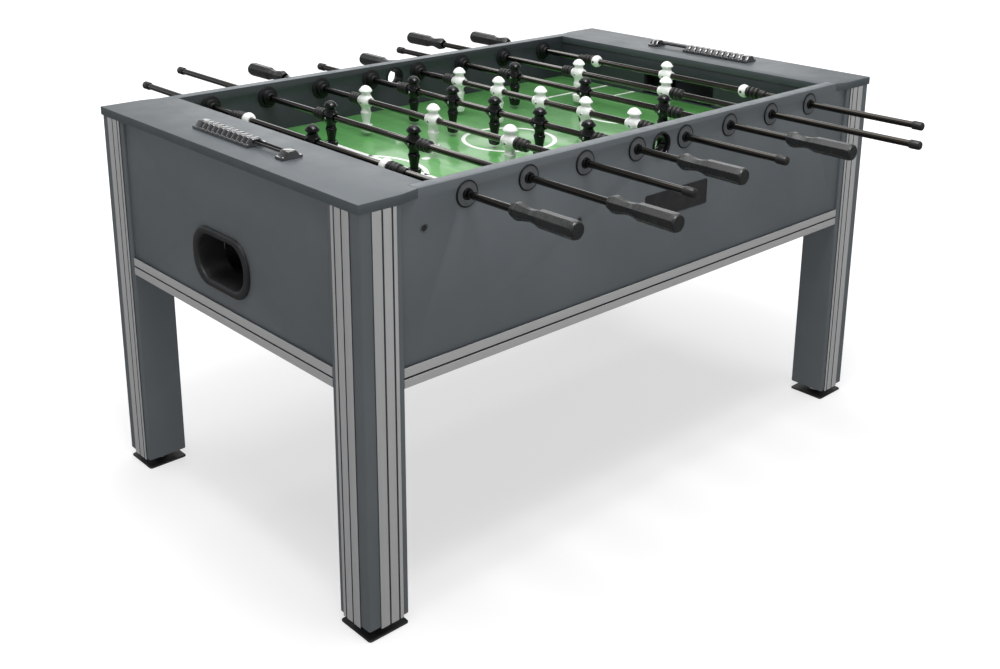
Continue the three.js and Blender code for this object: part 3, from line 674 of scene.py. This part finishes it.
def bushings():
    """A nylon bushing through the panel, with a thin outer flange and a conical inner hub."""
    inner, outer = SIDE_INNER, SIDE_OUTER
    profile = [(BUSHING_BORE, inner - INNER_HUB_LENGTH), (9.6 * MM, inner - INNER_HUB_LENGTH),
               (10.3 * MM, inner - 17 * MM), (11.4 * MM, inner - 13.6 * MM), (11.6 * MM, inner - 12.5 * MM),
               (14.8 * MM, inner - 12 * MM), (15.6 * MM, inner - 10 * MM), (17 * MM, inner - 4.2 * MM),
               (21.6 * MM, inner - 3.2 * MM), (INNER_FLANGE_RADIUS, inner - 2 * MM),
               (INNER_FLANGE_RADIUS, inner - 0.1 * MM), (10.3 * MM, inner - 0.1 * MM),
               (10.3 * MM, outer + 0.1 * MM), (FLANGE_RADIUS, outer + 0.1 * MM),
               (FLANGE_RADIUS, outer + 1 * MM), (22.2 * MM, outer + 1.9 * MM), (20.6 * MM, outer + 2 * MM),
               (20 * MM, outer + 1.5 * MM), (10.4 * MM, outer + 1.5 * MM), (9.6 * MM, outer + 1.9 * MM),
               (9.3 * MM, outer + 5.4 * MM), (8.6 * MM, outer + 6 * MM), (BUSHING_BORE, outer + 6 * MM)]
    mesh = meshed("bushing", lathe(profile, 48, False, True), hub_black_and_rim_shade, 38)
    # The flange faces from 10.2 to 21.3 mm take the flange colour. The thin rim band outside them stays black
    # as painted shade of the rim's shadow gap.
    paint_faces(mesh, flange_plastic, lambda _, centre: (
        centre.y > outer and 10.2 * MM < math.hypot(centre.x, centre.z) < 21.3 * MM))
    paint_faces(mesh, gloss_black, lambda _, centre: (
        centre.y > outer and math.hypot(centre.x, centre.z) < 10.2 * MM))
    for rod, x in ROD_X.items():
        for side, y in SIDES:
            piece(f"{rod}_{side}_bushing", mesh, CABINET, (), (x, 0, ROD_Z),
                  0 if y > 0 else math.pi)


def serving_cups():
    inner, outer = SIDE_INNER, SIDE_OUTER
    profile = [(SERVE_RADIUS, outer + 1.2 * MM), (21 * MM, outer + 2.4 * MM), (23.4 * MM, outer + 2.4 * MM),
               (25 * MM, outer + 1.2 * MM), (25 * MM, outer + 0.1 * MM), (21.4 * MM, outer + 0.1 * MM),
               (21.4 * MM, inner - 0.1 * MM), (24 * MM, inner - 0.1 * MM), (24 * MM, inner - 1 * MM),
               (22.6 * MM, inner - 1.8 * MM), (SERVE_RADIUS, inner - 1.4 * MM), (19.4 * MM, inner + 3 * MM),
               (19.2 * MM, outer - 9 * MM)]
    mesh = meshed("serving_cup", lathe(profile, 56, False, True), gloss_black, 40)
    for side, y in SIDES:
        piece(side + "_serving_cup", mesh, CABINET, (), (0, 0, SERVE_HEIGHT),
              0 if y > 0 else math.pi)


def panel_bolts():
    """The dished heads of the bolts that hold the side panels, two on each."""
    profile = [(0, -1.6), (2.2, -1.6), (2.6, -0.6), (5.6, 0.1), (7.2, 0.9), (8, 0.7), (8.2, 0.05)]
    bolt = meshed("panel_bolt", lathe([(r * MM, y * MM) for r, y in profile], 36), flange_plastic, 40)
    paint_faces(bolt, matte_black, lambda _, centre: math.hypot(centre.x, centre.z) < 2.5 * MM)
    for side, y in SIDES:
        for number, (x, z) in enumerate(((-564 * MM, 688 * MM), (-215 * MM, 622 * MM)), 1):
            piece(f"{side}_panel_bolt_{number}", bolt, CABINET, (),
                  (-y * x, y * SIDE_OUTER, z), 0 if y > 0 else math.pi)


def badge():
    """A plain black plate with a raised border, free of any lettering."""
    lo, hi, middle, half_height = -39 * MM, 143 * MM, 605 * MM, 25 * MM
    centre, half = (lo + hi) / 2, (hi - lo) / 2
    steps = ((0, 0), (0, 0.9), (0.6, 1.4), (2.2, 1.4), (2.8, 0.9))
    rings = [[Vector((centre + u, -SIDE_OUTER - rise * MM, middle + v)) for u, v in
              round_rectangle(half - inset * MM, half_height - inset * MM, (4 - inset) * MM, 5)]
             for inset, rise in steps]
    piece("front_badge_plate", meshed("badge_plate", loft(rings), matte_black, 30), CABINET)


# Half width and height of the scorers' flange, and of the body over it.
FLANGE_SECTION = ((20, 0), (20, 4.2), (19.4, 5))
FLANGE_TOP = 5
BODY_SECTION = ((15.7, 5.2), (15.1, 6.4), (9.6, 12.6), (8.7, 14.0), (7.3, 14.5))


def scorer_block(x, seat, stations):
    """A flanged block along Y. Each station is a place along Y and the scale of its body there."""
    rings = []
    for y, scale in stations:
        body = [(u * scale, FLANGE_TOP + (v - FLANGE_TOP) * scale) for u, v in BODY_SECTION]
        half = [*FLANGE_SECTION, *body]
        rings.append([Vector((x + u * MM, y, seat + v * MM))
                      for u, v in half + [(-u, v) for u, v in reversed(half)]])
    return loft(rings)


def scorers():
    """The stands and wires of each scorer, and its ten sliding counters."""
    stand_length, gap, count = 22 * MM, 1.4 * MM, 10
    for name, _ in ENDS:
        node, row = name + "_scorer", name + "_score_counters"
        lo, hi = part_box(node)
        row_lo, row_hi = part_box(row)
        x = (lo.x + hi.x) / 2
        for side, y in SIDES:
            tip = hi.y if y > 0 else lo.y
            stations = [(tip - y * along * MM, scale) for along, scale in
                        ((0, 0.9), (1.2, 0.97), (3, 1), (19, 1), (20.8, 0.97))]
            stations.append((tip - y * stand_length, 0.9))
            mesh = meshed("scorer_stand", scorer_block(x, lo.z, stations), counter_black, 34)
            piece(f"{name}_scorer_{side}_stand", mesh, CABINET, [node])
        for number, offset in enumerate((-5 * MM, 5 * MM), 1):
            wire = lathe([(2.2 * MM, lo.y + 8 * MM), (2.2 * MM, hi.y - 8 * MM)], 20)
            piece(f"{name}_scorer_wire_{number}", meshed("scorer_wire", wire, gloss_black), CABINET,
                  [node], (x + offset, 0, lo.z + 8.5 * MM))
        pitch = (row_hi.y - row_lo.y + gap) / count
        length = pitch - gap
        bulge = ((0, 0.80), (0.06, 0.87), (0.16, 0.94), (0.3, 0.985), (0.5, 1), (0.7, 0.985), (0.84, 0.94),
                 (0.94, 0.87), (1, 0.80))
        for number in range(count):
            start = row_lo.y + number * pitch
            stations = [(start + share * length, scale) for share, scale in bulge]
            mesh = meshed("score_counter", scorer_block(x, row_lo.z, stations), counter_black, 34)
            piece(f"{name}_score_counter_{number + 1}", mesh, name + "_counters",
                  [row])


# ---------------------------------------------------------------- rods

# Height over the rod's axis, half width along the rod, half depth across it, and squareness.
MAN_STATIONS = (
    (-67.4, 9.2, 7.2, 3.2), (-67.0, 10.0, 8.0, 3.2), (-64.5, 10.7, 8.9, 3.4), (-60, 11.4, 9.8, 3.4),
    (-55, 12.2, 10.7, 3.2), (-51.2, 12.8, 11.2, 3.0), (-50.4, 12.5, 10.8, 2.8), (-50.0, 9.2, 7.6, 2.4),
    (-48.6, 8.3, 6.9, 2.3), (-46, 8.5, 6.9, 2.3), (-40, 9.4, 7.2, 2.4), (-33, 10.6, 8.1, 2.5),
    (-27, 11.8, 9.0, 2.6), (-24.4, 12.2, 9.5, 2.6), (-23.4, 11.9, 9.3, 2.5), (-22.6, 10.8, 8.8, 2.3),
    (-19, 10.0, 8.6, 2.2), (-16, 9.5, 8.8, 2.1), (-12.5, 10.8, 9.8, 2.1), (-8, 14.2, 12.0, 2.1),
    (-4, 16.4, 13.6, 2.2), (0, 17.0, 14.2, 2.2), (4.5, 16.5, 13.8, 2.1), (8, 14.6, 12.6, 2.0),
    (11.5, 11.8, 10.8, 2.0), (14, 10.3, 9.7, 2.0), (15.6, 10.0, 9.5, 2.0), (17.4, 10.6, 10.0, 2.0),
    (19.4, 12.8, 11.8, 2.0), (20.8, 14.7, 13.2, 2.0), (21.8, 15.0, 13.4, 2.0), (22.8, 14.6, 13.0, 2.0),
    (25.4, 13.0, 11.7, 2.0), (28.6, 10.3, 9.3, 2.0), (31.2, 6.8, 6.2, 2.0), (32.5, 3.2, 3.0, 2.0),
    (32.95, 0.6, 0.6, 2.0),
)


def man_mesh():
    sides = 40
    rings = []
    for height, half_width, half_depth, square in MAN_STATIONS:
        ring = []
        for cosine, sine in ring_points(1, sides):
            power = 2 / square
            ring.append(Vector((math.copysign(abs(cosine) ** power, cosine) * half_depth * MM,
                                math.copysign(abs(sine) ** power, sine) * half_width * MM, height * MM)))
        rings.append(ring)
    boss = lathe([(9.2 * MM, -MAN_HALF_WIDTH), (9.8 * MM, -MAN_HALF_WIDTH + 0.6 * MM),
                  (9.8 * MM, MAN_HALF_WIDTH - 0.6 * MM), (9.2 * MM, MAN_HALF_WIDTH)], 36)
    bore = lathe([(6.9 * MM, -20 * MM), (6.9 * MM, 20 * MM)], 32)
    return cut("man", loft(rings), [(boss, "UNION"), (bore, "DIFFERENCE")], gloss_black, 42)


def screw_mesh():
    profile = [(0, 0.35), (0.9, 0.35), (1.0, 1.1), (2.2, 1.0), (2.7, 0.5), (2.8, 0), (2.8, -0.8)]
    return meshed("man_screw", lathe([(r * MM, y * MM) for r, y in profile], 24), screw_steel, 40)


def handle_mesh():
    """A grip from the collar on: eight flats with crisp ridges, round at both ends."""
    # Radius at the ridges, place along the handle, and how flat the eight sides are.
    profile = (
        (6.9, 3.2, 0.0), (8.8, 2.8, 0.0), (9.1, 0.4, 0.1), (10.4, 0.0, 0.5), (11.5, 0.9, 0.9),
        (13.2, 4.4, 1.0), (14.8, 9.2, 1.0), (15.2, 12.4, 1.0), (15.0, 16.2, 1.0), (14.0, 21.8, 1.0),
        (12.4, 29.4, 1.0), (11.2, 36.4, 1.0), (10.9, 41.6, 1.0), (11.3, 46.9, 1.0), (12.5, 53.1, 1.0),
        (13.9, 58.3, 1.0), (14.9, 61.0, 1.0), (15.0, 62.2, 1.0), (15.1, 79.6, 1.0), (15.3, 104.4, 1.0),
        (15.6, 127.0, 1.0), (15.5, 131.8, 0.9), (14.9, 135.0, 0.5), (13.6, 137.0, 0.15),
        (12.2, 137.6, 0.0), (6.0, 137.9, 0.0), (0.4, 138.0, 0.0),
    )
    facets = 8
    half_facet = math.pi / facets
    angles = [facet * 2 * half_facet + math.radians(turn)
              for facet in range(facets) for turn in (-20.8, -10, 0, 10, 20.8)]
    rings = []
    for radius, y, flatness in profile:
        ring = []
        for angle in angles:
            from_flat = (angle + half_facet) % (2 * half_facet) - half_facet
            reach = math.cos(half_facet) / math.cos(from_flat)
            size = radius * MM * (1 + flatness * (reach - 1))
            ring.append(Vector((size * math.cos(angle), y * MM, size * math.sin(angle))))
        rings.append(ring)
    mesh = meshed("handle", loft(rings), grip, 17)
    paint_faces(mesh, matte_black, lambda _, centre: (
        centre.y < 3.3 * MM and math.hypot(centre.x, centre.z) < 9.6 * MM))
    return mesh


def bumper_profile(length):
    """Three rounded rubber rings with deep grooves, and a plain sleeve on the long bumpers."""
    ring, radii = 10.4 * MM, (12.4 * MM, 12.4 * MM, 11.8 * MM)
    profile = [(ROD_RADIUS, 0)]
    for number, radius in enumerate(radii):
        start = number * ring
        profile += [(radius - 4 * MM, start + 0.3 * MM), (radius - 0.7 * MM, start + 1.3 * MM),
                    (radius, start + 2.8 * MM), (radius, start + ring - 4 * MM),
                    (radius - 0.7 * MM, start + ring - 2.6 * MM), (radius - 4 * MM, start + ring - 1.2 * MM)]
    if length > BUMPER_LENGTH:
        profile += [(9.1 * MM, 3 * ring + 0.6 * MM), (9 * MM, length - 1 * MM), (8.2 * MM, length)]
    profile.append((ROD_RADIUS, length))
    return profile


def rods():
    man_black = man_mesh()
    man_white = man_black.copy()
    man_white.materials[0] = gloss_white
    screw = screw_mesh()
    dark_screw = screw.copy()
    dark_screw.materials[0] = tube_steel
    handle = handle_mesh()
    collar_profile = [(6.5, -10.6), (8.4, -10.6), (9.6, -10), (11.6, -8), (13.4, -5), (14.3, -1.8), (14.5, 0),
                      (14.3, 1.8), (13.4, 5), (11.6, 8), (10.6, 8.6), (6.5, 8.6)]
    collar = meshed("stop_collar", lathe([(r * MM, y * MM) for r, y in collar_profile], 40, False),
                    gloss_white, 50)
    bumpers = {}
    for length in (BUMPER_LENGTH, LONG_BUMPER_LENGTH):
        bumpers[length] = meshed("bumper", lathe(bumper_profile(length), 40, False), rubber, 50)
    reach = FERRULE_LENGTH
    ferrule_profile = [(0, 0), (4.6 * MM, 0), (7.2 * MM, 0.8 * MM), (8.4 * MM, 2.6 * MM),
                       (8.5 * MM, reach - 2 * MM), (8 * MM, reach - 0.4 * MM), (7.2 * MM, reach),
                       (ROD_RADIUS, reach)]
    ferrule = meshed("ferrule", lathe(ferrule_profile, 36, False), rubber, 50)

    for rod, x in ROD_X.items():
        slider, spinner = rod + "_slider", rod + "_spinner"
        men = [node for node in frame["nodes"] if node.startswith(rod)
               and not node.endswith(("_tube", "_handle"))]
        handle_lo, handle_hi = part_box(rod + "_handle")
        tube_lo, tube_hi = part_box(rod + "_tube")
        side = 1 if handle_lo.y > 0 else -1
        turn = 0 if side > 0 else math.pi
        start = handle_lo.y if side > 0 else handle_hi.y
        bare = tube_lo.y if side > 0 else tube_hi.y
        centres = sorted((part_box(node)[0].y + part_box(node)[1].y) / 2 for node in men)
        middle = (centres[0] + centres[-1]) / 2
        tube = rod + "_tube"

        ends = sorted((bare + side * 1.5 * MM, start + side * 40 * MM))
        bm = lathe([(ROD_RADIUS - 0.5 * MM, ends[0]), (ROD_RADIUS, ends[0] + 0.5 * MM),
                    (ROD_RADIUS, ends[1] - 0.5 * MM), (ROD_RADIUS - 0.5 * MM, ends[1])], 32)
        piece(rod + "_steel_tube", meshed("steel_tube", bm, tube_steel), slider, [tube],
              (x, 0, ROD_Z))
        piece(rod + "_ferrule", ferrule, slider, [tube], (x, bare, ROD_Z), turn)
        piece(rod + "_grip", handle, spinner, [rod + "_handle"], (x, start, ROD_Z), turn)

        goalkeeper = len(men) == 1
        length = LONG_BUMPER_LENGTH if goalkeeper else BUMPER_LENGTH
        offset = COLLAR_OFFSET + COLLAR_REACH if goalkeeper else (
            (centres[-1] - centres[0]) / 2 + MAN_HALF_WIDTH + GAP)
        for name, y in SIDES:
            facing = 0 if y > 0 else math.pi
            piece(f"{rod}_{name}_bumper", bumpers[length], slider, [tube],
                  (x, middle + y * offset, ROD_Z), facing)
            if goalkeeper:
                place = middle + y * COLLAR_OFFSET
                piece(f"{rod}_{name}_stop_collar", collar, slider, [tube],
                      (x, place, ROD_Z), facing)
                piece(f"{rod}_{name}_collar_screw", dark_screw, slider, [tube],
                      (x - COLLAR_RADIUS, place, ROD_Z), math.pi / 2)

        black = frame_slot(men[0]) == "gloss_black_plastic"
        for node in men:
            lo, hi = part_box(node)
            centre = (x, (lo.y + hi.y) / 2, ROD_Z)
            piece(node + "_figure", man_black if black else man_white, spinner,
                  [node], centre)
            piece(node + "_screw", screw, spinner, [node],
                  (x - 13.7 * MM, centre[1], ROD_Z - 2 * MM), math.pi / 2)


def frame_slot(node):
    """The record's material slot of a CAD node."""
    return next(part["material_slot"] for part in frame["record"]["subparts"] if part["node"] == node)


# ---------------------------------------------------------------- stage

def camera():
    """The viewing angle: the focal length in picture widths, and the turn from looking along +X."""
    yaw, pitch, roll = 0.8219, -0.2866, 0.0073
    data = bpy.data.cameras.new("view")
    data.sensor_width = 36
    data.lens = 36 * 1.22878
    data.shift_x, data.shift_y = -0.0023, -0.16
    data.clip_end = 100
    made = bpy.data.objects.new("view", data)
    forward = Vector((math.cos(pitch) * math.cos(yaw), math.cos(pitch) * math.sin(yaw), math.sin(pitch)))
    right = forward.cross(Vector((0, 0, 1))).normalized()
    up = right.cross(forward)
    tilted = right * math.cos(roll) + up * math.sin(roll)
    upright = up * math.cos(roll) - right * math.sin(roll)
    made.matrix_world = Matrix((
        (tilted.x, upright.x, -forward.x, -1.70386),
        (tilted.y, upright.y, -forward.y, -1.81316),
        (tilted.z, upright.z, -forward.z, 1.3073),
        (0, 0, 0, 1)))
    bpy.context.scene.collection.objects.link(made)
    bpy.context.scene.camera = made


def floor():
    """A pale floor that glows a little, more so away from the table."""
    nodes = Nodes("pale_floor")
    tone = nodes.spread(nodes.noise(1.5, 2), 0, 1)
    nodes.link(nodes.blend(tone, (0.45, 0.45, 0.45), (0.48, 0.48, 0.48)), nodes.shader, "Base Color")
    nodes.shader.inputs["Roughness"].default_value = 0.8
    nodes.shader.inputs["Specular IOR Level"].default_value = 0.1
    nodes.shader.inputs["Emission Color"].default_value = (1, 1, 1, 1)
    distance = nodes.node("ShaderNodeVectorMath", operation="LENGTH")
    nodes.link(nodes.place, distance, "Vector")
    glow = nodes.spread(distance.outputs["Value"], 0.58, 0.92, 0.9, 3.2)
    nodes.link(glow, nodes.shader, "Emission Strength")
    bm = bmesh.new()
    bm.faces.new([bm.verts.new((x, y, 0)) for x, y in ring_points(30, 96)])
    made = bpy.data.objects.new("floor", meshed("floor", bm, nodes.material))
    made.visible_glossy = False
    bpy.context.scene.collection.objects.link(made)


def area_light(name, at, target, size, power):
    data = bpy.data.lights.new(name, "AREA")
    data.shape = "RECTANGLE"
    data.size, data.size_y = size
    data.energy = power
    made = bpy.data.objects.new(name, data)
    made.location = at
    made.rotation_euler = (Vector(target) - Vector(at)).to_track_quat("-Z", "Y").to_euler()
    made.visible_camera = False
    bpy.context.scene.collection.objects.link(made)


def sky():
    """White at the horizon, dimmer overhead, and dark below for what shiny pieces reflect."""
    world = bpy.data.worlds.new("studio")
    world.use_nodes = True
    bpy.context.scene.world = world
    tree = world.node_tree
    direction = tree.nodes.new("ShaderNodeTexCoord")
    parts = tree.nodes.new("ShaderNodeSeparateXYZ")
    ramp = tree.nodes.new("ShaderNodeValToRGB")
    stops = ((0.0, 0.10), (0.485, 0.16), (0.5, 1.0), (0.60, 0.62), (0.75, 0.30), (1.0, 0.22))
    for place, value in stops[1:-1]:
        ramp.color_ramp.elements.new(place)
    for element, (place, value) in zip(ramp.color_ramp.elements, stops):
        element.position = place
        element.color = (value * 0.985, value * 0.995, value, 1)
    raised = tree.nodes.new("ShaderNodeMapRange")
    raised.inputs["From Min"].default_value = -1
    tree.links.new(direction.outputs["Generated"], parts.inputs["Vector"])
    tree.links.new(parts.outputs["Z"], raised.inputs["Value"])
    tree.links.new(raised.outputs["Result"], ramp.inputs["Fac"])
    tree.links.new(ramp.outputs["Color"], tree.nodes["Background"].inputs["Color"])


def lights():
    """A ceiling panel with four bright panes under it, a front fill, and two softboxes behind."""
    area_light("ceiling", (0, 0, 4.0), (0, 0, 0), (4, 4), 120)
    for number, (x, y) in enumerate(((-1, -1), (1, -1), (-1, 1), (1, 1)), 1):
        area_light(f"pane_{number}", (-0.7 + 0.32 * x, -0.8 + 0.32 * y, 3.3), (-0.1, -0.1, 0.7),
                   (0.42, 0.42), 11)
    area_light("front_fill", (1.6, -4.4, 1.5), (0.3, 0, 0.5), (2.4, 1.6), 14)
    area_light("back_strip", (0, 2.8, 3.3), (0, 0, 0.7), (3.4, 0.35), 17)
    area_light("back_softbox", (3.2, 3.4, 2.4), (-0.3, 0, 0.75), (4.0, 1.6), 25)
    bpy.context.scene.view_settings.view_transform = "Standard"


camera()
floor()
sky()
lights()
side_panels()
end_panels()
end_caps()
legs()
leg_trims()
apron_trims()
levelling_feet()
field_board()
field_lines()
goal_ends()
bushings()
serving_cups()
panel_bolts()
badge()
scorers()
rods()
